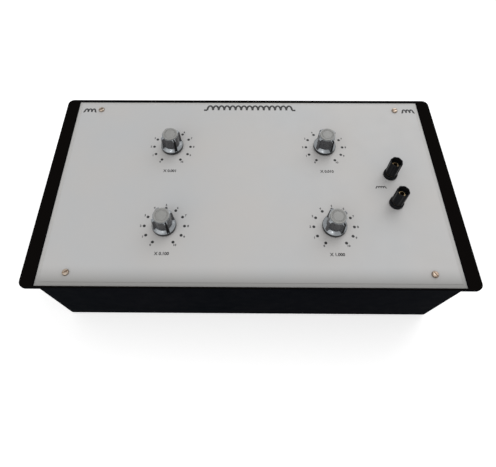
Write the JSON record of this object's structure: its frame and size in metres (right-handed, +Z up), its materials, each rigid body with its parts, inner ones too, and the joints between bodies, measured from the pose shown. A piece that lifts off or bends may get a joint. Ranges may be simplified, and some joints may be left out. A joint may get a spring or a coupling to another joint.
{
  "type": "inductance decade box",
  "caption": "Bench inductance decade box: rotary decade dials with lobed pointer knobs and 4 mm binding posts on a light grey panel, in a deep black moulded tub with wide side rails.",
  "frame": {"origin": "middle of the footprint, on the surface the feet stand on", "axes": "+X to the right along the panel, +Y to the rear, +Z up out of the panel"},
  "size_m": [0.3854, 0.208, 0.1103],
  "materials": {
    "moulded_case": "black moulded case plastic, satin with a fine grain",
    "panel_metal": "light grey painted sheet metal, satin",
    "panel_film": "light grey printed polyester film, satin",
    "knob_plastic": "silver-grey metallised moulding, bright satin",
    "cap_metal": "spun aluminium cap, satin",
    "post_plastic": "black moulded binding-post plastic",
    "brass": "turned brass",
    "zinc_steel": "zinc-plated steel",
    "foot_rubber": "black rubber, matte",
    "phenolic_board": "brown paper laminate",
    "rotor_plastic": "switch rotor moulding with a silvered ring",
    "ferrite": "dark grey sintered ferrite",
    "copper_winding": "enamelled copper wire on a former",
    "silvered_brass": "silvered spring brass contacts",
    "wire_sleeve": "sleeved wire looms and leads"
  },
  "bodies": {
    "case": {"case_tub": "moulded_case", "thread_inserts": "brass", "rubber_feet": "foot_rubber", "foot_screws": "zinc_steel", "front_panel": "panel_metal", "printed_film": "panel_film", "panel_screws": "zinc_steel", "coil_board": "phenolic_board", "board_fixings": "zinc_steel", "wiring": "wire_sleeve", "switch_frame_units": "zinc_steel", "wafer_units": "phenolic_board", "coil_core_units": "ferrite", "winding_units": "copper_winding", "switch_frame_tens": "zinc_steel", "wafer_tens": "phenolic_board", "coil_core_tens": "ferrite", "winding_tens": "copper_winding", "switch_frame_hundreds": "zinc_steel", "wafer_hundreds": "phenolic_board", "coil_core_hundreds": "ferrite", "winding_hundreds": "copper_winding", "switch_frame_thousands": "zinc_steel", "wafer_thousands": "phenolic_board", "coil_core_thousands": "ferrite", "winding_thousands": "copper_winding", "bush_nuts": "zinc_steel", "index_springs": "zinc_steel", "wafer_contacts": "silvered_brass", "wafer_studs": "zinc_steel", "post_collar_rear": "post_plastic", "post_stud_rear": "brass", "post_collar_front": "post_plastic", "post_stud_front": "brass", "post_fixings": "zinc_steel"},
    "selector_units": {"knob_units": "knob_plastic", "knob_cap_units": "cap_metal", "grub_screw_units": "zinc_steel", "switch_shaft_units": "zinc_steel", "rotor_units": "rotor_plastic"},
    "selector_tens": {"knob_tens": "knob_plastic", "knob_cap_tens": "cap_metal", "grub_screw_tens": "zinc_steel", "switch_shaft_tens": "zinc_steel", "rotor_tens": "rotor_plastic"},
    "selector_hundreds": {"knob_hundreds": "knob_plastic", "knob_cap_hundreds": "cap_metal", "grub_screw_hundreds": "zinc_steel", "switch_shaft_hundreds": "zinc_steel", "rotor_hundreds": "rotor_plastic"},
    "selector_thousands": {"knob_thousands": "knob_plastic", "knob_cap_thousands": "cap_metal", "grub_screw_thousands": "zinc_steel", "switch_shaft_thousands": "zinc_steel", "rotor_thousands": "rotor_plastic"},
    "clamp_rear": {"clamp_washer_rear": "brass"},
    "screw_cap_rear": {"post_cap_rear": "post_plastic"},
    "clamp_front": {"clamp_washer_front": "brass"},
    "screw_cap_front": {"post_cap_front": "post_plastic"}
  },
  "joints": [
    {"name": "turn_units", "type": "hinge", "parent": "case", "child": "selector_units", "pos_m": [-0.076, 0.042, 0.0973], "axis": [0, 0, 1], "range_deg": [0, 300]},
    {"name": "turn_tens", "type": "hinge", "parent": "case", "child": "selector_tens", "pos_m": [0.076, 0.042, 0.0973], "axis": [0, 0, 1], "range_deg": [0, 300]},
    {"name": "turn_hundreds", "type": "hinge", "parent": "case", "child": "selector_hundreds", "pos_m": [-0.076, -0.0464, 0.0973], "axis": [0, 0, 1], "range_deg": [0, 300]},
    {"name": "turn_thousands", "type": "hinge", "parent": "case", "child": "selector_thousands", "pos_m": [0.076, -0.0464, 0.0973], "axis": [0, 0, 1], "range_deg": [0, 300]},
    {"name": "lift_rear", "type": "slide", "parent": "case", "child": "clamp_rear", "axis": [0, 0, 1], "range_m": [0, 0.006]},
    {"name": "unscrew_rear", "type": "hinge", "parent": "clamp_rear", "child": "screw_cap_rear", "pos_m": [0.136, 0.0094, 0.0973], "axis": [0, 0, 1], "range_deg": [0, 2160]},
    {"name": "lift_front", "type": "slide", "parent": "case", "child": "clamp_front", "axis": [0, 0, 1], "range_m": [0, 0.006]},
    {"name": "unscrew_front", "type": "hinge", "parent": "clamp_front", "child": "screw_cap_front", "pos_m": [0.136, -0.022, 0.0973], "axis": [0, 0, 1], "range_deg": [0, 2160]}
  ],
  "couplings": [
    {"joint": "unscrew_rear", "follows": "lift_rear", "rad_per_m": 6283.2},
    {"joint": "unscrew_front", "follows": "lift_front", "rad_per_m": 6283.2}
  ]
}
